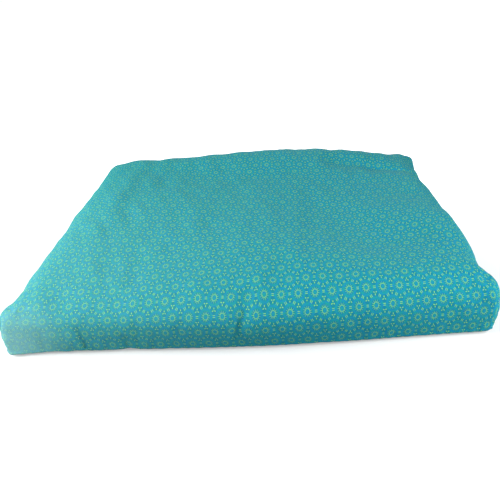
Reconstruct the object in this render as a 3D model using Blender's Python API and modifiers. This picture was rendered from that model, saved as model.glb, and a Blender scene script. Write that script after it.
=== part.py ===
"""Zabuton: a large flat floor cushion, stuffed, in a cover of printed cotton.

The cover is one printed panel that wraps over the top and down all four walls,
with its corners closed by upright seams, and a bottom panel sewn on round the
lower edge. The cushion lies on its back, flat where it touches.

Metres, +Z up. The origin is on the resting face, under the middle of the
cushion. +X runs along the width, and the front faces -Y.
"""
from collections import namedtuple

import bmesh
import bpy
import numpy as np

# Size of the block that the cover would make with square edges
WIDTH = 0.84
DEPTH = 0.74
SHOULDER = 0.113

# Radii where the stuffing rounds the edges off, smaller towards the corners
TOP_ROLL = 0.054
TOP_ROLL_AT_CORNER = 0.031
LOWER_ROLL = 0.010
CORNER_AT_SHOULDER = 0.042
CORNER_AT_SEAM = 0.023

# What the stuffing and the sewing do to the form
CROWN = 0.012
BELLY = 0.0046
CORNER_EAR = 0.007
OUT_OF_SQUARE = 0.0315

# How quickly the rolls, the belly and the ears give way to the middle of a side
ROLL_FALL_OFF = 4
BELLY_FALL_OFF = 12
EAR_FALL_OFF = 10
BOW_FALL_OFF = 3

# Rows of the cage, before it is smoothed
ROWS_ACROSS = 18
ROWS_DEEP = 16
ROWS_HIGH = 5
EDGE_CROWDING = 1.25
SMOOTHING = 1

COVER_COLOUR = (0.045, 0.345, 0.375, 1.0)
COVER_ROUGHNESS = 0.9

# The stuffing lies unevenly: each row is a soft hill or hollow in the top,
# with its middle, half lengths, turn in degrees and height
Swell = namedtuple("Swell", "name x y along across turn rise")
SWELLS = (
    Swell("left ridge", -0.326, 0.085, 0.057, 0.287, 2, 0.027),
    Swell("back hill", 0.01, 0.306, 0.325, 0.092, 3, 0.026),
    Swell("middle right hollow", 0.256, -0.059, 0.181, 0.226, 27, -0.040),
    Swell("right side hill", 0.344, -0.09, 0.084, 0.158, 45, 0.029),
    Swell("back right hollow", 0.39, 0.303, 0.126, 0.107, 5, -0.019),
    Swell("front left hollow", -0.222, -0.347, 0.204, 0.139, 31, -0.017),
    Swell("front left corner", -0.42, -0.37, 0.15, 0.13, 0, -0.012),
)

# The walls bow out or are drawn in: each row is one place along a wall, with
# its half length and how far out the wall stands there
Bow = namedtuple("Bow", "wall at spread out")
BOWS = (
    Bow("front", 0.056, 0.277, 0.019),
    Bow("back", 0.0, 0.30, 0.006),
    Bow("left", -0.294, 0.045, -0.014),
    Bow("left", -0.118, 0.118, -0.011),
    Bow("left", 0.107, 0.123, -0.007),
    Bow("right", -0.293, 0.033, -0.012),
    Bow("right", 0.212, 0.105, -0.015),
)

# Creases deep enough to change the outline, on the cover's cloth laid flat: on
# the top u and v are x and y, and they run on down the walls past the edges
Crease = namedtuple("Crease", "name u0 v0 u1 v1 breadth depth")
CREASES = (
    Crease("back right crease", 0.16, 0.26, 0.47, 0.19, 0.035, 0.018),
)


def rounded(points):
    """Move points of a square-edged block onto its rounded form.

    A point is drawn in to the nearest place on a smaller inner block, then
    pushed back out by the radius that holds there. Returns the new points and
    the outward directions.
    """
    half = np.array([WIDTH, DEPTH]) / 2
    height = points[:, 2]
    cornerness = np.abs(points[:, :2] / half).prod(axis=1) ** ROLL_FALL_OFF
    top_roll = TOP_ROLL + (TOP_ROLL_AT_CORNER - TOP_ROLL) * cornerness
    plan_radius = CORNER_AT_SEAM + (CORNER_AT_SHOULDER - CORNER_AT_SEAM) * (height / SHOULDER) ** 2
    room = half - plan_radius[:, None]
    inner = np.column_stack([
        np.clip(points[:, :2], -room, room),
        np.clip(height, LOWER_ROLL, SHOULDER - top_roll),
    ])
    roll = np.where(height > inner[:, 2], top_roll, LOWER_ROLL)
    radii = np.column_stack([plan_radius, plan_radius, roll])
    reach = np.linalg.norm((points - inner) / radii, axis=1)
    moved = inner + (points - inner) / reach[:, None]
    outward = (moved - inner) / radii ** 2
    return moved, outward / np.linalg.norm(outward, axis=1)[:, None]


def top_rise(x, y):
    """Height of the top over the shoulder: a low crown and the swells."""
    across = np.clip(2 * x / WIDTH, -1, 1)
    deep = np.clip(2 * y / DEPTH, -1, 1)
    rise = CROWN * (1 - across ** 2) * (1 - deep ** 2)
    for swell in SWELLS:
        turn = np.radians(swell.turn)
        along = (x - swell.x) * np.cos(turn) + (y - swell.y) * np.sin(turn)
        across_it = (y - swell.y) * np.cos(turn) - (x - swell.x) * np.sin(turn)
        rise = rise + swell.rise * np.exp(-(along / swell.along) ** 2 - (across_it / swell.across) ** 2)
    return rise


def bowed(wall, at):
    """How far out a wall stands at places along it."""
    out = np.zeros_like(at)
    for bow in BOWS:
        if bow.wall == wall:
            out = out + bow.out * np.exp(-((at - bow.at) / bow.spread) ** 2)
    return out


def crease_depth(u, v):
    """Depth of the creases at a place on the flat cloth, fading towards their ends."""
    depth = np.zeros_like(u)
    for crease in CREASES:
        run = np.array([crease.u1 - crease.u0, crease.v1 - crease.v0])
        length = np.hypot(*run)
        du, dv = u - crease.u0, v - crease.v0
        along = (du * run[0] + dv * run[1]) / length ** 2
        aside = (dv * run[0] - du * run[1]) / length
        inside = np.clip(1 - np.abs(2 * along - 1) ** 3, 0, 1)
        depth = depth + crease.depth * inside * np.exp(-(aside / crease.breadth) ** 2)
    return depth


def filled(points):
    """The block's points, moved to where the stuffed cover has them."""
    half_width, half_depth = WIDTH / 2, DEPTH / 2
    moved, outward = rounded(points)
    x, y, z = moved.T
    level = np.clip(z / SHOULDER, 0, 1)
    side_x, side_y = np.abs(x) / half_width, np.abs(y) / half_depth

    # The walls are fullest at half height, and the corners stand proud of them
    belly = BELLY * (np.sin(np.pi * level) - 1)
    bow_x = np.where(x < 0, bowed("left", y), bowed("right", y))
    bow_y = np.where(y < 0, bowed("front", x), bowed("back", x))
    new_x = x + np.sign(x) * (
        belly * side_x ** BELLY_FALL_OFF
        + (bow_x + CORNER_EAR * side_y ** EAR_FALL_OFF) * side_x ** BOW_FALL_OFF
    )
    new_y = y + np.sign(y) * (
        belly * side_y ** BELLY_FALL_OFF
        + (bow_y + CORNER_EAR * side_x ** EAR_FALL_OFF) * side_y ** BOW_FALL_OFF
    )
    new_z = z + top_rise(new_x, new_y) * level ** 2

    # On the walls the cloth's own measure runs on by the drop from the top
    drop = SHOULDER - points[:, 2]
    on_side = np.isclose(np.abs(points[:, 0]), half_width)
    on_front = np.isclose(np.abs(points[:, 1]), half_depth)
    u = points[:, 0] + np.sign(points[:, 0]) * drop * on_side
    v = points[:, 1] + np.sign(points[:, 1]) * drop * on_front
    sunk = crease_depth(u, v) * level
    moved = np.column_stack([new_x, new_y, new_z]) - outward * sunk[:, None]
    moved[:, 0] += OUT_OF_SQUARE * moved[:, 1]
    return moved


def block_cage():
    """A unit cube cut into rows each way, closer together towards the edges."""
    cage = bmesh.new()
    bmesh.ops.create_cube(cage, size=2.0)
    for axis, rows in enumerate((ROWS_ACROSS, ROWS_DEEP, ROWS_HIGH)):
        lengthwise = [
            edge for edge in cage.edges
            if abs(edge.verts[0].co[axis] - edge.verts[1].co[axis]) > 1.0
        ]
        bmesh.ops.subdivide_edges(cage, edges=lengthwise, cuts=rows - 1, use_grid_fill=True)
    points = np.array([vertex.co for vertex in cage.verts])
    points[:, :2] = np.sin(points[:, :2] * EDGE_CROWDING) / np.sin(EDGE_CROWDING)
    points *= (WIDTH / 2, DEPTH / 2, SHOULDER / 2)
    points[:, 2] += SHOULDER / 2
    return cage, points


def cover_material():
    """Matt printed cotton, at the mean of its two colours."""
    material = bpy.data.materials.new("printed cotton")
    material.use_nodes = True
    shader = material.node_tree.nodes["Principled BSDF"]
    shader.inputs["Base Color"].default_value = COVER_COLOUR
    shader.inputs["Roughness"].default_value = COVER_ROUGHNESS
    shader.inputs["Metallic"].default_value = 0.0
    return material


def make_cushion(collection):
    """The stuffed cushion: the cage on its filled form, then smoothed."""
    cage, points = block_cage()
    points = filled(points)
    middle = (points.min(axis=0) + points.max(axis=0)) / 2
    points[:, :2] -= middle[:2]
    for vertex, point in zip(cage.verts, points):
        vertex.co = point
    bmesh.ops.recalc_face_normals(cage, faces=cage.faces)
    mesh = bpy.data.meshes.new("cushion")
    cage.to_mesh(mesh)
    cage.free()
    mesh.shade_smooth()
    mesh.materials.append(cover_material())
    cushion = bpy.data.objects.new("cushion", mesh)
    collection.objects.link(cushion)
    smoothing = cushion.modifiers.new("smoothing", "SUBSURF")
    smoothing.levels = SMOOTHING
    smoothing.render_levels = SMOOTHING
    return cushion


for leftover in list(bpy.data.objects):
    bpy.data.objects.remove(leftover, do_unlink=True)

zabuton = bpy.data.collections.new("zabuton")
bpy.context.scene.collection.children.link(zabuton)
make_cushion(zabuton)
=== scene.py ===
from collections import namedtuple
from math import pi, radians, sqrt

import bpy
import numpy as np
from mathutils import Matrix, Vector


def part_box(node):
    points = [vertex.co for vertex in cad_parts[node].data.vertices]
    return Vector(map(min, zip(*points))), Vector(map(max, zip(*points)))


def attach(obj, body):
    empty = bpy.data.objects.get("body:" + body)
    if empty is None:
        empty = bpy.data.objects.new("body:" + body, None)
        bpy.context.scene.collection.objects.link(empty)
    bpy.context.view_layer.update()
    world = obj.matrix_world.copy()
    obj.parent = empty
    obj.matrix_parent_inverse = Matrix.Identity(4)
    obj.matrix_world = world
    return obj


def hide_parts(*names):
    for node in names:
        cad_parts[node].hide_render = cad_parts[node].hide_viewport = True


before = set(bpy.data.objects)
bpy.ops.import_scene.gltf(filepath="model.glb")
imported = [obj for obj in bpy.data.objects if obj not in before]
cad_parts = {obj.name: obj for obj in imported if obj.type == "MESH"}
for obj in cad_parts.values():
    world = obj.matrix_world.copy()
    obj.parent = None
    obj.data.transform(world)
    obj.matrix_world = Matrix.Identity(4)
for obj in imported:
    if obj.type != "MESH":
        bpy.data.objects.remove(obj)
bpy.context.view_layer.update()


# The stuffing. Cotton batting fills the cover to a rounded block with a low crown,
# hills and hollows where it has shifted, bowed walls and eared corners. It is the
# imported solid's form, with some finer swells and bows.

WIDTH, DEPTH, SHOULDER = 0.84, 0.74, 0.113
HALF = np.array([WIDTH, DEPTH]) / 2
TOP_ROLL, TOP_ROLL_AT_CORNER, LOWER_ROLL = 0.054, 0.031, 0.010
CORNER_AT_SHOULDER, CORNER_AT_SEAM = 0.042, 0.023
CROWN, BELLY, CORNER_EAR = 0.012, 0.0046, 0.007
OUT_OF_SQUARE = 0.0315
TINY = 1e-9

# How closely each effect keeps to its corner or wall: a power of the way out to it
CORNER_POWER, EAR_POWER, BELLY_POWER, BOW_POWER = 4, 10, 12, 3

Swell = namedtuple("Swell", "name x y along across turn rise")
SWELLS = (
    Swell("left ridge", -0.326, 0.085, 0.060, 0.287, 2, 0.015),
    Swell("back hill", 0.01, 0.306, 0.325, 0.092, 3, 0.026),
    Swell("middle right hollow", 0.256, -0.059, 0.181, 0.226, 27, -0.040),
    Swell("right side hill", 0.344, -0.09, 0.084, 0.158, 45, 0.029),
    Swell("back right hollow", 0.39, 0.303, 0.126, 0.107, 5, -0.022),
    Swell("front left hollow", -0.222, -0.347, 0.204, 0.139, 31, -0.017),
    Swell("front left corner", -0.42, -0.37, 0.15, 0.13, 0, -0.012),
    Swell("front rise", 0.175, -0.251, 0.354, 0.075, 2, 0.004),
    Swell("middle hollow", -0.047, -0.016, 0.080, 0.220, 0, -0.005),
    Swell("right dip", 0.235, -0.210, 0.080, 0.075, 0, -0.005),
    Swell("front dip", 0.072, -0.339, 0.121, 0.075, -20, -0.005),
    Swell("left of the middle", -0.152, 0.036, 0.080, 0.075, 0, 0.003),
    Swell("left slope", -0.275, 0.090, 0.110, 0.220, 3, 0.014),
)

Bow = namedtuple("Bow", "wall at spread out")
BOWS = (
    Bow("front", 0.056, 0.277, 0.019),
    Bow("back", 0.0, 0.30, 0.006),
    Bow("left", -0.294, 0.045, -0.005),
    Bow("left", -0.118, 0.118, -0.011),
    Bow("left", 0.107, 0.123, -0.007),
    Bow("right", -0.285, 0.050, -0.006),
    Bow("right", 0.212, 0.105, -0.015),
    Bow("right", 0.240, 0.045, 0.007),
)


def rounded(block):
    """A square block's points on its rounded form: the nearest point of a smaller
    inner block, plus the radius that holds there. The top's roll narrows to the
    corners, and the corners' own roll widens with the square of the height. Also
    gives the outward directions."""
    height = block[..., 2:]
    near_corner = np.abs(block[..., :2] / HALF).prod(axis=-1, keepdims=True) ** CORNER_POWER
    top_roll = TOP_ROLL + (TOP_ROLL_AT_CORNER - TOP_ROLL) * near_corner
    turn = CORNER_AT_SEAM + (CORNER_AT_SHOULDER - CORNER_AT_SEAM) * (height / SHOULDER) ** 2
    inner = np.concatenate([
        np.clip(block[..., :2], turn - HALF, HALF - turn),
        np.clip(height, LOWER_ROLL, SHOULDER - top_roll),
    ], axis=-1)
    roll = np.where(height > inner[..., 2:], top_roll, LOWER_ROLL)
    radii = np.concatenate([turn, turn, roll], axis=-1)
    reach = np.linalg.norm((block - inner) / radii, axis=-1, keepdims=True)
    moved = inner + (block - inner) / np.maximum(reach, TINY)
    outward = (moved - inner) / radii ** 2
    return moved, outward / np.linalg.norm(outward, axis=-1, keepdims=True)


def stuffed(block):
    """The rounded block's points where the stuffing holds them: each wall in or out
    by its belly and bows, the corners out by their ears, and the top up by its crown
    and swells, less and less down the walls. The belly is half a sine up the wall,
    the crown a parabola each way, and each swell and bow a Gaussian."""
    moved, outward = rounded(block)
    x, y, z = np.moveaxis(moved, -1, 0)
    level = np.clip(z / SHOULDER, 0, 1)
    side_x, side_y = np.abs(x) / HALF[0], np.abs(y) / HALF[1]
    belly = BELLY * (np.sin(pi * level) - 1)
    out = dict.fromkeys(("left", "right", "front", "back"), 0.0)
    for bow in BOWS:
        at = y if bow.wall in ("left", "right") else x
        out[bow.wall] = out[bow.wall] + bow.out * np.exp(-((at - bow.at) / bow.spread) ** 2)
    out_x = np.where(x < 0, out["left"], out["right"]) + CORNER_EAR * side_y ** EAR_POWER
    out_y = np.where(y < 0, out["front"], out["back"]) + CORNER_EAR * side_x ** EAR_POWER
    x = x + np.sign(x) * (belly * side_x ** BELLY_POWER + out_x * side_x ** BOW_POWER)
    y = y + np.sign(y) * (belly * side_y ** BELLY_POWER + out_y * side_y ** BOW_POWER)

    rise = CROWN * (1 - np.clip(x / HALF[0], -1, 1) ** 2) * (1 - np.clip(y / HALF[1], -1, 1) ** 2)
    for swell in SWELLS:
        cosine, sine = np.cos(radians(swell.turn)), np.sin(radians(swell.turn))
        along = ((x - swell.x) * cosine + (y - swell.y) * sine) / swell.along
        across = ((y - swell.y) * cosine - (x - swell.x) * sine) / swell.across
        rise = rise + swell.rise * np.exp(-along ** 2 - across ** 2)
    return np.stack([x + OUT_OF_SQUARE * y, y, z + rise * level ** 2], axis=-1), outward


# The cover. One printed cotton panel lies over the top and is turned down all
# four sides, with upright seams at its corners, and a bottom panel closes it.
# Each is a grid of points over the block, finer round the edges and the seams.

CELL = 0.0042
# Degrees round a roll: their tangents place the grid's lines on the block's edge
EDGE_TURNS = (4.5, 9, 13.5, 18, 22.5, 27, 31.5, 36, 39, 41.5, 43, 44, 44.6, 45)
SHOULDER_TURNS = np.linspace(45, 0, 11)
LOWER_TURNS = (8, 16, 24, 31, 38, 45)
UNDER_TURNS = (38, 30, 20, 10, 0)
UNDER_STEPS = (0.04, 0.07, 0.12, 0.18, 0.25)
# Points in the same tenth of a micron of the block are one vertex
PLACES_IN_METRE = 1e7


def tangents(degrees):
    """The tangents of angles in degrees."""
    return np.tan(np.radians(degrees))


def edge_to_edge(half):
    """Lines across the block: even over the flat middle, and at the tangents of
    even angles round its edges, closest together at the corner seams."""
    flat_half = half - CORNER_AT_SHOULDER
    middle = np.linspace(-1, 1, 2 * round(flat_half / CELL) + 1) * flat_half
    edge = flat_half + CORNER_AT_SHOULDER * tangents(EDGE_TURNS)
    return np.concatenate([-edge[::-1], middle, edge])


def over(first, second, place):
    """A grid of points on the block from two rows of lines, as place(a, b) says."""
    a, b = np.meshgrid(first, second, indexing="ij")
    return np.stack(np.broadcast_arrays(*place(a, b)), axis=-1).astype(float)


across, deep = edge_to_edge(HALF[0]), edge_to_edge(HALF[1])
WALL_TOP = SHOULDER - TOP_ROLL
down = np.concatenate([
    WALL_TOP + TOP_ROLL * tangents(SHOULDER_TURNS),
    np.linspace(WALL_TOP, LOWER_ROLL, 2 * round((WALL_TOP - LOWER_ROLL) / CELL / 2) + 1)[1:],
    LOWER_ROLL * (1 - tangents(LOWER_TURNS)),
])
block = {
    "top": over(across, deep, lambda a, b: (a, b, SHOULDER)),
    "front": over(across, down, lambda a, b: (a, -HALF[1], b)),
    "right": over(deep, down, lambda a, b: (HALF[0], a, b)),
    "back": over(across[::-1], down, lambda a, b: (a, HALF[1], b)),
    "left": over(deep[::-1], down, lambda a, b: (-HALF[0], a, b)),
}
# The bottom panel is laid out in loops, each the lower edge drawn in a little more
rim = np.concatenate([block[name][:-1, -1] for name in ("front", "right", "back", "left")])
rim = np.append(rim, rim[:1], axis=0)[:, None]
drawn_in = np.concatenate([[0], CORNER_AT_SEAM * (1 - tangents(UNDER_TURNS)), UNDER_STEPS]) / HALF[1]
block["under"] = rim * (1 - drawn_in[None, :, None])


def walked(points, axis):
    """Length walked over a grid of points from its first line, one way."""
    steps = np.linalg.norm(np.diff(points, axis=axis), axis=-1)
    return np.insert(np.cumsum(steps, axis=axis), 0, 0.0, axis=axis)


def from_middle(length, axis):
    """The same length, counted from the grid's middle line."""
    return length - np.take(length, [length.shape[axis] // 2], axis=axis)


# Place of each point on the panel laid flat, (u, v) in metres from the middle of
# the top: the panel is cut straight, so the sides run on from the shoulder, and
# the lengths are those of the rounded form before the stuffing lifts it
FULLNESS, FULLER_FROM = 0.0115, 0.15
evenly = {name: rounded(points)[0] for name, points in block.items()}


def eased(u):
    """The cloth is a little fuller towards its right side, as a square of the way."""
    return u + FULLNESS * (np.maximum(u - FULLER_FROM, 0) / (HALF[0] - FULLER_FROM)) ** 2


top_u = eased(from_middle(walked(evenly["top"], 0), 0))
top_v = from_middle(walked(evenly["top"], 1), 1)
flat = {"top": np.stack([top_u, top_v], axis=-1)}
for name, edge, way in (("front", top_v[:, 0], -1), ("back", top_v[::-1, -1], 1)):
    along = eased(from_middle(walked(evenly[name], 0), 0) * -way)
    flat[name] = np.stack([along, edge[:, None] + way * walked(evenly[name], 1)], axis=-1)
for name, edge, way in (("right", top_u[-1, :], 1), ("left", top_u[0, ::-1], -1)):
    along = from_middle(walked(evenly[name], 0), 0) * way
    flat[name] = np.stack([edge[:, None] + way * walked(evenly[name], 1), along], axis=-1)
flat["under"] = evenly["under"][..., :2]


def sewn_together(points, name):
    """One closed mesh of the panels: points at the same place on the block are one
    vertex, each cell of a grid is a quad facing out, and one flat face closes the
    innermost loop. Also gives each panel's vertex numbers."""
    step = block["top"].shape[0] // (points["top"].shape[0] - 1)
    on_block = np.concatenate([block[panel][::step, ::step].reshape(-1, 3) for panel in points])
    keys = np.round(on_block * PLACES_IN_METRE).astype(np.int64)
    first, numbers = np.unique(keys, axis=0, return_index=True, return_inverse=True)[1:]
    places = np.concatenate([points[panel].reshape(-1, 3) for panel in points])[first]
    vertex, faces, corners, start = {}, [], [], 0
    for panel, grid in points.items():
        rows, columns = grid.shape[:2]
        vertex[panel] = numbers.ravel()[start:start + rows * columns].reshape(rows, columns)
        start += rows * columns
        round_cell = ((0, 0), (0, 1), (1, 1), (1, 0))
        if panel == "top":
            round_cell = ((0, 0), (1, 0), (1, 1), (0, 1))
        cell = [(slice(i, rows - 1 + i), slice(j, columns - 1 + j)) for i, j in round_cell]
        faces.append(np.stack([vertex[panel][corner] for corner in cell], axis=-1).reshape(-1, 4))
        laid_flat = flat[panel][::step, ::step]
        corners.append(np.stack([laid_flat[corner] for corner in cell], axis=-2).reshape(-1, 2))
    last_loop = slice(None, -1), -1
    corners.append(laid_flat[last_loop][::-1])
    mesh = bpy.data.meshes.new(name)
    mesh.from_pydata(
        places.tolist(), [],
        np.concatenate(faces).tolist() + [vertex["under"][last_loop][::-1].tolist()],
    )
    cloth_map = mesh.uv_layers.new(name="cloth")
    cloth_map.data.foreach_set("uv", np.concatenate(corners).astype(np.float32).ravel())
    mesh.shade_smooth()
    return mesh, vertex


form = {name: stuffed(points) for name, points in block.items()}
cloth = {name: points for name, (points, directions) in form.items()}
outward = {name: directions for name, (points, directions) in form.items()}


# The cloth is cut a little large and the batting presses it out, so that it
# pulls at the seams and puckers between them: a short simulation under pressure,
# on every other line of the grids, from a form slightly inside the real one
SLACK = 0.004
PRESSURE = 4
BATTING_HOLD, CORNER_SEAM_HOLD = 0.15, 0.6
START_INSIDE, INSIDE_FROM = 0.003, 0.3
MOST_MOVED = 0.006
LOWER_SEAM_LINES = 4
FRAMES = 20


def doubled(grid):
    """A grid with a new line between each two, both ways: nine sixteenths of each
    neighbour, less a sixteenth of each next one."""
    for axis in (0, 1):
        lines = np.moveaxis(grid, axis, 0)
        run_on = np.concatenate([2 * lines[:1] - lines[1:2], lines, 2 * lines[-1:] - lines[-2:-1]])
        between = (9 * (run_on[1:-2] + run_on[2:-1]) - run_on[:-3] - run_on[3:]) / 16
        finer = np.empty((2 * len(lines) - 1, *lines.shape[1:]))
        finer[::2], finer[1::2] = lines, between
        grid = np.moveaxis(finer, 0, axis)
    return grid


def mesh_points(mesh):
    """A mesh's vertices as an array."""
    points = np.empty(len(mesh.vertices) * 3, np.float32)
    mesh.vertices.foreach_get("co", points)
    return points.reshape(-1, 3).astype(float)


def pressed_out(panels):
    """How far the batting moves each point of the panels, at most MOST_MOVED."""
    every_other = {name: points[::2, ::2] for name, points in panels.items()}
    slack_mesh, vertex = sewn_together(every_other, "slack cover")
    slack = bpy.data.objects.new("slack cover", slack_mesh)
    bpy.context.scene.collection.objects.link(slack)
    held = slack.vertex_groups.new(name="held")
    start = mesh_points(slack_mesh)
    held.add(list(range(len(start))), BATTING_HOLD, "REPLACE")
    for name in ("front", "right", "back", "left"):
        held.add(vertex[name][0].tolist(), CORNER_SEAM_HOLD, "REPLACE")
        held.add(vertex[name][:, -LOWER_SEAM_LINES:].ravel().tolist(), 1.0, "REPLACE")
    held.add(vertex["under"].ravel().tolist(), 1.0, "REPLACE")
    pressing = slack.modifiers.new("pressing", "CLOTH")
    pressing.settings.use_pressure = True
    pressing.settings.uniform_pressure_force = PRESSURE
    pressing.settings.shrink_min = -SLACK
    pressing.settings.vertex_group_mass = "held"
    pressing.settings.effector_weights.gravity = 0
    pressing.point_cache.frame_end = FRAMES
    for frame_number in range(1, FRAMES + 1):
        bpy.context.scene.frame_set(frame_number)
    settled = slack.evaluated_get(bpy.context.evaluated_depsgraph_get())
    moved = mesh_points(settled.data) - start
    lengths = np.linalg.norm(moved, axis=1, keepdims=True)
    moved *= np.minimum(1, MOST_MOVED / np.maximum(lengths, TINY))
    bpy.data.objects.remove(slack, do_unlink=True)
    bpy.context.scene.frame_set(1)
    return {name: doubled(moved[vertex[name]]) for name in panels}


for name, points in cloth.items():
    off_floor = np.clip(points[..., 2:] / LOWER_ROLL - INSIDE_FROM, 0, 1)
    cloth[name] = points - START_INSIDE * outward[name] * off_floor
moves = pressed_out(cloth)
cloth = {name: points + moves[name] for name, points in cloth.items()}


# The folds in the cover. Where the stuffing is slack the cloth creases, gathers
# run up from the lower seam, and the four upright corner seams draw it in.

Fold = namedtuple("Fold", "name u0 v0 u1 v1 breadth sink")
# A crease dies away down the walls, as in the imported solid; a fold runs to the floor
CREASES = (
    Fold("back right crease", 0.16, 0.26, 0.430, 0.197, 0.035, 0.013),
)
FOLDS = (
    Fold("corner crease", 0.290, 0.240, 0.450, 0.202, 0.005, 0.0060),
    Fold("corner crease's ridge", 0.290, 0.224, 0.450, 0.186, 0.010, -0.0022),
    Fold("left dimple", -0.275, 0.010, -0.235, -0.115, 0.013, 0.0012),
    Fold("ridge beside it", -0.262, 0.015, -0.218, -0.110, 0.012, -0.0006),
    Fold("left wrinkle", -0.318, -0.070, -0.258, -0.165, 0.009, 0.0012),
    Fold("second left wrinkle", -0.350, -0.045, -0.250, -0.190, 0.008, 0.0010),
    Fold("shoulder crease", -0.195, -0.230, -0.185, -0.320, 0.013, 0.0016),
    Fold("shoulder ridge", -0.218, -0.230, -0.208, -0.320, 0.013, -0.0014),
    Fold("front crease", 0.016, -0.322, -0.020, -0.445, 0.010, 0.0066),
    Fold("front crease's ridge", 0.036, -0.332, 0.001, -0.445, 0.012, -0.0036),
    Fold("lower left tuck", -0.276, -0.392, -0.274, -0.480, 0.006, 0.0042),
    Fold("tuck's ridge", -0.292, -0.402, -0.288, -0.480, 0.007, -0.0034),
    Fold("tuck in the lower seam", -0.203, -0.415, -0.200, -0.500, 0.009, 0.0050),
    Fold("first gather", -0.240, -0.365, -0.226, -0.480, 0.007, 0.0026),
    Fold("second gather", -0.210, -0.375, -0.205, -0.475, 0.006, 0.0012),
    Fold("third gather", -0.172, -0.365, -0.186, -0.480, 0.007, 0.0026),
    Fold("fourth gather", -0.138, -0.385, -0.164, -0.475, 0.006, 0.0012),
    Fold("fifth gather", -0.100, -0.385, -0.135, -0.480, 0.008, 0.0018),
    Fold("corner gather", -0.340, -0.395, -0.350, -0.485, 0.007, 0.0026),
)
Lift = namedtuple("Lift", "x spread rise")
LIFTS = (
    Lift(-0.348, 0.014, 0.0020),
    Lift(-0.302, 0.010, 0.0022),
    Lift(-0.212, 0.011, 0.0035),
    Lift(0.110, 0.030, 0.0010),
)
LIFT_REACH, LIFT_POWER = 0.020, 16


def fold_depth(folds, u, v):
    """How deep the folds are at (u, v): each is a Gaussian trough about its line, and
    fades towards the line's ends as 1 less the cube of the way from its middle."""
    depth = np.zeros_like(u)
    for fold in folds:
        run = np.array([fold.u1 - fold.u0, fold.v1 - fold.v0])
        length = np.hypot(*run)
        along = ((u - fold.u0) * run[0] + (v - fold.v0) * run[1]) / length ** 2
        aside = ((v - fold.v0) * run[0] - (u - fold.u0) * run[1]) / length
        fade = np.clip(1 - np.abs(2 * along - 1) ** 3, 0, 1)
        depth = depth + fold.sink * fade * np.exp(-(aside / fold.breadth) ** 2)
    return depth


LUMP_HEIGHT, LUMP_SPACING = 0.0008, 0.075
LUMP_WAVES, LUMP_PACES, LUMP_SEED = 14, (0.5, 1.6), 7
chance = np.random.default_rng(LUMP_SEED)
wave_rate = 2 * pi / LUMP_SPACING * chance.uniform(*LUMP_PACES, LUMP_WAVES)
wave_heading, wave_start = chance.uniform(0, 2 * pi, (2, LUMP_WAVES))


def lumps(u, v):
    """Unevenness of the batting: a sum of even waves that run every way."""
    heading = u[..., None] * np.cos(wave_heading) + v[..., None] * np.sin(wave_heading)
    return LUMP_HEIGHT * np.sin(wave_rate * heading + wave_start).sum(axis=-1) / sqrt(LUMP_WAVES / 2)


OVERHANG_AT, OVERHANG_SPREAD, OVERHANG_POWER = -0.02, 0.25, 8
OVERHANG_HEIGHTS = (0.0, 0.015, 0.030, 0.045, 0.058, 0.070, 0.085, 0.100)
OVERHANG_OUT = (-0.0030, -0.0012, 0.0025, 0.0075, 0.0108, 0.0108, 0.0066, 0.0015)
CORNER_FOLDED, CORNER_FOLD_REACH = (0.42, -0.37, 0.0), (0.05, 0.05, 0.06)
CORNER_FOLD, CORNER_FOLD_WAY = 0.007, (1.0, -0.4)

# The sewing draws the cloth in along each seam, and puckers it by turns. The wavers
# that make the puckers uneven are each a swing, a rate and a start.
SEAM_GROOVE, SEAM_BREADTH, SEAM_TOP = 0.0035, 0.0035, 0.02
PUCKER, PUCKER_PITCH, PUCKER_REACH = 0.0007, 0.019, 0.022
LOWER_SEAM_WAVERS = ((0.006, 31, 0), (0.004, 73, 1))
CORNER_SEAM_WAVERS = ((0.003, 90, 0),)


def puckers(length, wavers):
    """Puckers along a seam: a sine of the length along it, with a few slower sines
    of the same length added to it so that the puckers crowd and spread."""
    uneven = length + sum(swing * np.sin(rate * length + start) for swing, rate, start in wavers)
    return PUCKER * np.sin(2 * pi / PUCKER_PITCH * uneven)


def sewn_in(points, directions, u, v, level):
    """How far the seams draw a wall in: a Gaussian groove along each corner seam,
    and puckers that die away as Gaussians of the way from those and the lower seam."""
    along, walked_down = walked(points, 0), walked(points, 1)
    from_corner = np.minimum(along, along[-1] - along)
    from_lower_seam = walked_down[:, -1:] - walked_down
    groove = np.exp(-(from_corner / SEAM_BREADTH) ** 2)
    upright = np.clip(walked_down / SEAM_TOP, 0, 1)
    at_corner = np.exp(-(from_corner / PUCKER_REACH) ** 2) * (1 - groove) * upright
    off_floor = np.clip(points[..., 2] / LOWER_ROLL, 0, 1)
    at_lower_seam = np.exp(-(from_lower_seam / PUCKER_REACH) ** 2) * off_floor
    run = np.where(np.abs(directions[..., 0]) > np.abs(directions[..., 1]), v, u)
    drawn_in = SEAM_GROOVE * groove * upright * level
    drawn_in = drawn_in + puckers(run, LOWER_SEAM_WAVERS) * at_lower_seam
    return drawn_in + puckers(walked_down, CORNER_SEAM_WAVERS) * at_corner


for name, points in cloth.items():
    u, v = np.moveaxis(flat[name], -1, 0)
    level = np.clip(points[..., 2] / SHOULDER, 0, 1)
    off_floor = np.clip(points[..., 2] / LIFT_REACH, 0, 1)
    sunk = (fold_depth(CREASES, u, v) - lumps(u, v)) * level + fold_depth(FOLDS, u, v) * off_floor
    if name in ("front", "right", "back", "left"):
        sunk = sunk + sewn_in(points, outward[name], u, v, level)
    cloth[name] = points - outward[name] * sunk[..., None]

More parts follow.
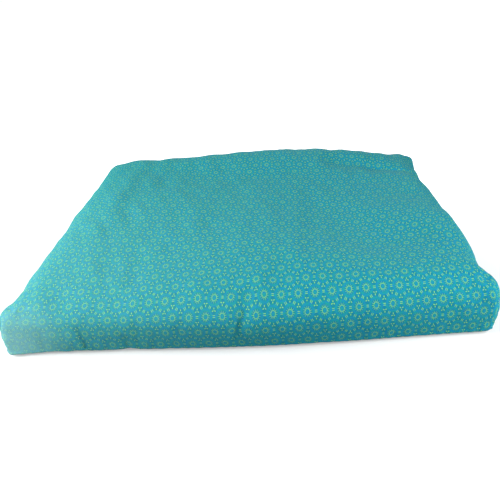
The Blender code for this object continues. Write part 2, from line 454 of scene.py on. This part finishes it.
for points in cloth.values():
    to_front = np.clip(-points[..., 1] / HALF[1], 0, 1)

    # The lower seam is puckered up off the floor in places along the front
    for lift in LIFTS:
        near = np.exp(-((points[..., 0] - lift.x) / lift.spread) ** 2) * to_front ** LIFT_POWER
        points[..., 2] += lift.rise * near * np.clip(1 - points[..., 2] / LIFT_REACH, 0, 1)

    # The middle of the front wall hangs over, and turns in towards the floor
    near = np.exp(-((points[..., 0] - OVERHANG_AT) / OVERHANG_SPREAD) ** 2) * to_front ** OVERHANG_POWER
    points[..., 1] -= near * np.interp(points[..., 2], OVERHANG_HEIGHTS, OVERHANG_OUT)

    # The lower front right corner is folded under a little
    from_low_corner = (points - CORNER_FOLDED) / CORNER_FOLD_REACH
    under_by = CORNER_FOLD * np.exp(-(from_low_corner[..., :2] ** 2).sum(axis=-1, keepdims=True))
    points[..., :2] -= under_by * np.clip(1 - from_low_corner[..., 2:], 0, 1) ** 2 * CORNER_FOLD_WAY

# The cover is centred on the solid that it dresses
low, high = (np.array(corner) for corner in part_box("cushion"))
every = np.concatenate([points.reshape(-1, 3) for points in cloth.values()])
centring = ((low + high) / 2 - (every.min(axis=0) + every.max(axis=0)) / 2) * (1, 1, 0)
cloth = {name: points + centring for name, points in cloth.items()}
cover_mesh = sewn_together(cloth, "cover")[0]
cover = bpy.data.objects.new("cover", cover_mesh)
bpy.context.scene.collection.objects.link(cover)


# The printed cotton. Matt plain weave in turquoise, printed in yellow-green with
# a small repeat: sunburst rings on a staggered lattice, three-pod sprigs between
# each three rings, and pairs of short dashes between each two.

RING_PITCH = 0.02742
ROW_PITCH = 0.03013
FIRST_RING = (-0.585 * RING_PITCH, 0.25 * ROW_PITCH)
PRINT_LEAN = 0.0076
# The repeat is charted on an even lattice, with rows this many pitches apart, and
# stretched along the cloth to the real rows
ROW_GAP = sqrt(3) / 2
GROUND = (0.006, 0.190, 0.420, 1)
GREENER_GROUND = (0.010, 0.300, 0.230, 1)
PRINT_GREEN = (0.305, 0.715, 0.060, 1)
# Dark teal: the overprint round the marks, and also the painted shade on the lower front wall
OVERPRINT_AND_SHADE = (0.006, 0.115, 0.180, 1)

# The print's own measures, in ring pitches; a taper, a ray's ends and a pod's edge
# are shares of the mark's length or size
RING_RADIUS, RING_LINE = 0.138, 0.007
RAYS, RAY_TIP, RAY_LINE, RAY_TAPER, RAY_END = 13, 0.262, 0.010, 0.6, 0.05
DASH_OUT, DASH_HALF, DASH_ASIDE, DASH_LINE = 0.5, 0.068, 0.042, 0.012
POD_OUT, POD_HALF, POD_LINE, POD_EDGE = 0.500, 0.044, 0.020, 0.3
PRINT_EDGE = 0.006
SIXTH = pi / 3

# Where the dye lies deeper round the marks: the middle, half and edge of each band
RING_HALO, RING_HALO_HALF, RING_HALO_EDGE = 0.20, 0.08, 0.08
SPRIG_HALO_HALF, SPRIG_HALO_EDGE = 0.09, 0.06

# How many grains a metre each unevenness has, and the part of its range that is used
DRIFT_GRAIN, MOTTLE_GRAIN, WEAR_GRAIN, SLUB_GRAIN = 24.0, 300.0, 700.0, 420.0
MOTTLE_PART, WEAR_PART = (0.40, 0.60), (0.25, 0.62)

# Shares of the greener dye, and the side of the cloth that is greener
MOTTLE_GREEN, HALO_GREEN, DRIFT_GREEN, SIDE_GREEN = 0.62, 0.12, 0.22, 0.10
SIDE_MOST, SIDE_FROM_TO = 1.15, (-0.45, 0.35)
HALO_OVERPRINT, LEAST_PRINT = 0.4, 0.55

# Painted shade: the lower middle of the front wall is darkened towards the dark teal
PAINTED_SHADE, PAINTED_SHADE_AT, PAINTED_SHADE_HALF, PAINTED_SHADE_EDGE = 0.21, 0.02, 0.22, 0.16
PAINTED_SHADE_FROM_TO = (-0.46, -0.36)

# Painted highlight: the front left corner and the left side are paled, the corner patchily with the wear
HIGHLIGHT_COLOUR, CORNER_HIGHLIGHT, CORNER_HIGHLIGHT_BY_WEAR = (0.42, 0.76, 0.76, 1), 0.17, 0.20
CORNER_HIGHLIGHT_AT, CORNER_HIGHLIGHT_REACH, CORNER_HIGHLIGHT_EDGE = (-0.395, -0.435), 0.11, 0.55
SIDE_HIGHLIGHT, SIDE_HIGHLIGHT_ACROSS, SIDE_HIGHLIGHT_BACK = 0.085, (-0.50, 0.15), (-0.35, 0.25)

# The weave's relief in metres, and the cloth's shine
THREAD_PITCH, THREAD_HEIGHT, SLUB_HEIGHT = 0.0011, 0.00006, 0.00025
ROUGHNESS, WORN_ROUGHER, PRINT_SMOOTHER = 0.80, 0.12, 0.05
GLOSS, SHEEN, SHEEN_SPREAD, SHEEN_TINT = 0.1, 0.06, 0.5, (0.25, 0.85, 0.85, 1)


class Dye:
    """One value in a shader: sums on it add their Math nodes."""

    def __init__(self, tree, socket=None):
        self.tree = tree
        self.socket = socket

    def node(self, kind, settings, sockets, output=0):
        """Any node: its settings first, then its sockets' values or links."""
        made = self.tree.nodes.new(kind)
        for name, value in settings.items():
            setattr(made, name, value)
        for key, value in sockets.items():
            if isinstance(value, Dye):
                self.tree.links.new(value.socket, made.inputs[key])
            else:
                made.inputs[key].default_value = value
        return Dye(self.tree, made.outputs[output])

    def maths(self, operation, *values):
        return self.node("ShaderNodeMath", {"operation": operation}, dict(enumerate(values)))

    def __add__(self, other):
        return self.maths("ADD", self, other)

    def __sub__(self, other):
        return self.maths("SUBTRACT", self, other)

    def __mul__(self, other):
        return self.maths("MULTIPLY", self, other)

    def __truediv__(self, other):
        return self.maths("DIVIDE", self, other)

    def __rsub__(self, other):
        return self.maths("SUBTRACT", other, self)

    __radd__ = __add__
    __rmul__ = __mul__

    def __abs__(self):
        return self.maths("ABSOLUTE", self)

    def fraction(self):
        return self.maths("FRACT", self)

    def root(self):
        return self.maths("SQRT", self)

    def cosine(self):
        return self.maths("COSINE", self)

    def sine(self):
        return self.maths("SINE", self)

    def angle_over(self, other):
        return self.maths("ARCTAN2", self, other)

    def less_than(self, other):
        return self.maths("LESS_THAN", self, other)

    def or_else(self, other):
        return self.maths("MAXIMUM", self, other)

    def spread(self, low, high):
        """The value with low moved to 0 and high to 1, and eased between."""
        return self.node(
            "ShaderNodeMapRange", {"interpolation_type": "SMOOTHSTEP"},
            {"Value": self, "From Min": low, "From Max": high},
        )

    def within(self, limit, soft):
        """1 where the value is under the limit, easing to 0 about it."""
        return 1 - self.spread(limit - soft, limit + soft)

    def noise(self, place, scale, detail):
        return self.node(
            "ShaderNodeTexNoise", {"noise_dimensions": "2D"},
            {"Vector": place, "Scale": scale, "Detail": detail},
        )

    def blend(self, share, first, second):
        """The second colour over the first by a share. The Mix node has its colours
        in sockets 6 and 7, and gives the mixed one in its output 2."""
        sockets = {"Factor": share, 6: first, 7: second}
        return self.node("ShaderNodeMix", {"data_type": "RGBA"}, sockets, 2)


cotton = bpy.data.materials.new("printed cotton")
cotton.use_nodes = True
tree = cotton.node_tree
tree.nodes.clear()
dye = Dye(tree)
sheet = dye.node("ShaderNodeUVMap", {"uv_map": "cloth"}, {})
sheet_u = dye.node("ShaderNodeSeparateXYZ", {}, {0: sheet}, 0)
sheet_v = dye.node("ShaderNodeSeparateXYZ", {}, {0: sheet}, 1)

# Place in the repeat, in pitches from the nearest ring: the lattice is two sets
# of upright cells, and the nearer of their two middles is the ring's
across_print = (sheet_u - PRINT_LEAN * sheet_v - FIRST_RING[0]) / RING_PITCH
up_print = (sheet_v - FIRST_RING[1]) * (ROW_GAP / ROW_PITCH)
even_x = (across_print + 0.5).fraction() - 0.5
even_y = ((up_print / (2 * ROW_GAP) + 0.5).fraction() - 0.5) * (2 * ROW_GAP)
odd_x = across_print.fraction() - 0.5
odd_y = ((up_print / (2 * ROW_GAP)).fraction() - 0.5) * (2 * ROW_GAP)
even_nearer = (even_x * even_x + even_y * even_y).less_than(odd_x * odd_x + odd_y * odd_y)
ring_x = odd_x + even_nearer * (even_x - odd_x)
ring_y = odd_y + even_nearer * (even_y - odd_y)
radius = (ring_x * ring_x + ring_y * ring_y).root()
angle = ring_y.angle_over(ring_x)

# A ring, and rays that narrow from it to their tips
ring = abs(radius - RING_RADIUS).within(RING_LINE, PRINT_EDGE)
from_ray = abs((angle * (RAYS / (2 * pi))).fraction() - 0.5) * (2 * pi / RAYS) * radius
along_ray = (radius - RING_RADIUS) / (RAY_TIP - RING_RADIUS)
ray = (from_ray - RAY_LINE * (1 - RAY_TAPER * along_ray)).within(0.0, PRINT_EDGE)
ray = ray * abs(along_ray - 0.5).within(0.5, RAY_END)

# The six ways to the next rings, and the six ways between them
to_ring = ((angle / SIXTH + 0.5).fraction() - 0.5) * SIXTH
to_gap = ((angle / SIXTH).fraction() - 0.5) * SIXTH
out_to_ring, aside_of_ring = radius * to_ring.cosine(), radius * to_ring.sine()
out_to_gap, aside_of_gap = radius * to_gap.cosine(), radius * to_gap.sine()
dash = abs(out_to_ring - DASH_OUT).within(DASH_HALF, PRINT_EDGE)
dash = dash * abs(abs(aside_of_ring) - DASH_ASIDE).within(DASH_LINE, PRINT_EDGE)
pod_x, pod_y = (out_to_gap - POD_OUT) / POD_HALF, aside_of_gap / POD_LINE
pod = (pod_x * pod_x + pod_y * pod_y).root().within(1.0, POD_EDGE)
printed = ring.or_else(ray).or_else(dash).or_else(pod)

# The dye is uneven: the ground is mottled blue and green, greener and deeper round
# the print, drifts slowly over the cloth, and is greener on its left. The print has worn
# thin in places. The lower front has painted shade, the left corner and side a painted highlight.
drift = dye.noise(sheet, DRIFT_GRAIN, 2.0)
mottle = dye.noise(sheet, MOTTLE_GRAIN, 2.0).spread(*MOTTLE_PART)
ring_halo = abs(radius - RING_HALO).within(RING_HALO_HALF, RING_HALO_EDGE)
halo = ring_halo.or_else(abs(out_to_gap - POD_OUT).within(SPRIG_HALO_HALF, SPRIG_HALO_EDGE))
greener = MOTTLE_GREEN * mottle + HALO_GREEN * halo + DRIFT_GREEN * drift
greener = greener + SIDE_GREEN * (SIDE_MOST - sheet_u.spread(*SIDE_FROM_TO))
ground = dye.blend(greener, GROUND, GREENER_GROUND)
ground = dye.blend(HALO_OVERPRINT * halo, ground, OVERPRINT_AND_SHADE)
worn = dye.noise(sheet, WEAR_GRAIN, 2.0).spread(*WEAR_PART)
colour = dye.blend(printed * (LEAST_PRINT + (1 - LEAST_PRINT) * worn), ground, PRINT_GREEN)
# Painted shade: the lower middle of the front wall is darkened towards the dark teal
painted_shade = abs(sheet_u - PAINTED_SHADE_AT).within(PAINTED_SHADE_HALF, PAINTED_SHADE_EDGE) * (1 - sheet_v.spread(*PAINTED_SHADE_FROM_TO))
colour = dye.blend(PAINTED_SHADE * painted_shade, colour, OVERPRINT_AND_SHADE)
# Painted highlight: the front left corner and the left side are paled towards a whitish teal
corner_u, corner_v = ((way - at) / CORNER_HIGHLIGHT_REACH for way, at in zip((sheet_u, sheet_v), CORNER_HIGHLIGHT_AT))
corner_highlight = (corner_u * corner_u + corner_v * corner_v).root().within(CORNER_HIGHLIGHT_EDGE, CORNER_HIGHLIGHT_EDGE)
side_highlight = (1 - sheet_u.spread(*SIDE_HIGHLIGHT_ACROSS)) * (1 - sheet_v.spread(*SIDE_HIGHLIGHT_BACK))
painted_highlight = corner_highlight * (CORNER_HIGHLIGHT + CORNER_HIGHLIGHT_BY_WEAR * worn) + SIDE_HIGHLIGHT * side_highlight
colour = dye.blend(painted_highlight, colour, HIGHLIGHT_COLOUR)

# Plain weave: threads that pass over and under each other, with thicker places
thread_u = (sheet_u * (2 * pi / THREAD_PITCH)).sine()
thread_v = (sheet_v * (2 * pi / THREAD_PITCH)).sine()
slubs = dye.noise(sheet, SLUB_GRAIN, 3.0)
relief = THREAD_HEIGHT * thread_u * thread_v + SLUB_HEIGHT * slubs
weave = dye.node("ShaderNodeBump", {}, {"Strength": 1.0, "Distance": 1.0, "Height": relief})
roughness = ROUGHNESS + WORN_ROUGHER * worn - PRINT_SMOOTHER * printed

shader = dye.node("ShaderNodeBsdfPrincipled", {}, {
    "Base Color": colour,
    "Roughness": roughness,
    "Metallic": 0.0,
    "Specular IOR Level": GLOSS,
    "Sheen Weight": SHEEN,
    "Sheen Roughness": SHEEN_SPREAD,
    "Sheen Tint": SHEEN_TINT,
    "Normal": weave,
})
output = tree.nodes.new("ShaderNodeOutputMaterial")
tree.links.new(shader.socket, output.inputs["Surface"])
cover_mesh.materials.append(cotton)

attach(cover, "root")
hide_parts("cushion")


# The stage: a plain pale floor, soft light from the left, from the right and a
# little from behind, and the camera where the photograph was taken from.

FLOOR_REACH, FLOOR_DROP, FLOOR_ROUGHNESS = 30.0, 0.0005, 0.9
SKY_LIGHT = 0.08
FLOOR_PAINT, FLOOR_GLOW = 0.56, 0.36
PAINTED_GLOW_FROM, PAINTED_GLOW_CENTRE = (0.75, 1.25), (-0.20, -0.65)
Lamp = namedtuple("Lamp", "name x y z size power")
LAMPS = (
    Lamp("left window", -1.4, -0.45, 0.95, 1.3, 49),
    Lamp("back left window", -1.6, 0.6, 1.1, 1.3, 5),
    Lamp("right lamp", 1.35, -0.88, 0.80, 1.0, 35),
    Lamp("back lamp", 0.30, 1.70, 0.40, 0.8, 8.5),
)

floor_mesh = bpy.data.meshes.new("floor")
floor_corners = np.array([(-1, -1), (1, -1), (1, 1), (-1, 1)]) * FLOOR_REACH
floor_mesh.from_pydata([(x, y, -FLOOR_DROP) for x, y in floor_corners.tolist()], [], [(0, 1, 2, 3)])
floor = bpy.data.objects.new("floor", floor_mesh)
bpy.context.scene.collection.objects.link(floor)
paint = bpy.data.materials.new("pale floor")
paint.use_nodes = True
coat = paint.node_tree.nodes["Principled BSDF"]
coat.inputs["Base Color"].default_value = (FLOOR_PAINT, FLOOR_PAINT, FLOOR_PAINT, 1)
coat.inputs["Roughness"].default_value = FLOOR_ROUGHNESS
# Painted light: the floor glows to the eye alone, brighter than it lights the cushion,
# and most of all away from the cushion; near it the glow also lightens the cushion's shadow
plain = Dye(paint.node_tree)
spot = plain.node("ShaderNodeTexCoord", {}, {}, "Object")
spot_x = plain.node("ShaderNodeSeparateXYZ", {}, {0: spot}, "X")
spot_y = plain.node("ShaderNodeSeparateXYZ", {}, {0: spot}, "Y")
aside, behind = spot_x - PAINTED_GLOW_CENTRE[0], spot_y - PAINTED_GLOW_CENTRE[1]
away = (aside * aside + behind * behind).root().spread(*PAINTED_GLOW_FROM)
seen = plain.node("ShaderNodeLightPath", {}, {}, "Is Camera Ray")
glow = plain.blend(seen * (FLOOR_GLOW + (1 - FLOOR_GLOW) * away), (0, 0, 0, 1), (1, 1, 1, 1))
paint.node_tree.links.new(glow.socket, coat.inputs["Emission Color"])
coat.inputs["Emission Strength"].default_value = 1.0
floor_mesh.materials.append(paint)

sky = bpy.data.worlds.new("studio")
sky.use_nodes = True
air = Dye(sky.node_tree)
seen = air.node("ShaderNodeLightPath", {}, {}, "Is Camera Ray")
brightness = SKY_LIGHT + (1 - SKY_LIGHT) * seen
background = sky.node_tree.nodes["Background"]
sky.node_tree.links.new(brightness.socket, background.inputs["Strength"])
background.inputs["Color"].default_value = (1.0, 1.0, 1.0, 1)
bpy.context.scene.world = sky
bpy.context.scene.view_settings.view_transform = "Standard"

for lamp in LAMPS:
    light = bpy.data.lights.new(lamp.name, "AREA")
    light.energy = lamp.power
    light.size = lamp.size
    place = Vector((lamp.x, lamp.y, lamp.z))
    to_cushion = (-place).to_track_quat("-Z", "Y").to_matrix().to_4x4()
    lantern = bpy.data.objects.new(lamp.name, light)
    lantern.matrix_world = Matrix.Translation(place) @ to_cushion
    lantern.visible_camera = False
    bpy.context.scene.collection.objects.link(lantern)

EYE = (0.0535, -1.1794, 0.5748)
YAW, PITCH, ROLL = (radians(turn) for turn in (-3.148, 25.612, 4.696))
FOCAL_LENGTH, SENSOR_WIDTH = 42.15, 36.0
camera_data = bpy.data.cameras.new("camera")
camera_data.lens = FOCAL_LENGTH
camera_data.sensor_width = SENSOR_WIDTH
camera = bpy.data.objects.new("camera", camera_data)
camera.matrix_world = (
    Matrix.Translation(EYE)
    @ Matrix.Rotation(-YAW, 4, "Z")
    @ Matrix.Rotation(radians(90) - PITCH, 4, "X")
    @ Matrix.Rotation(-ROLL, 4, "Z")
)
bpy.context.scene.collection.objects.link(camera)
bpy.context.scene.camera = camera
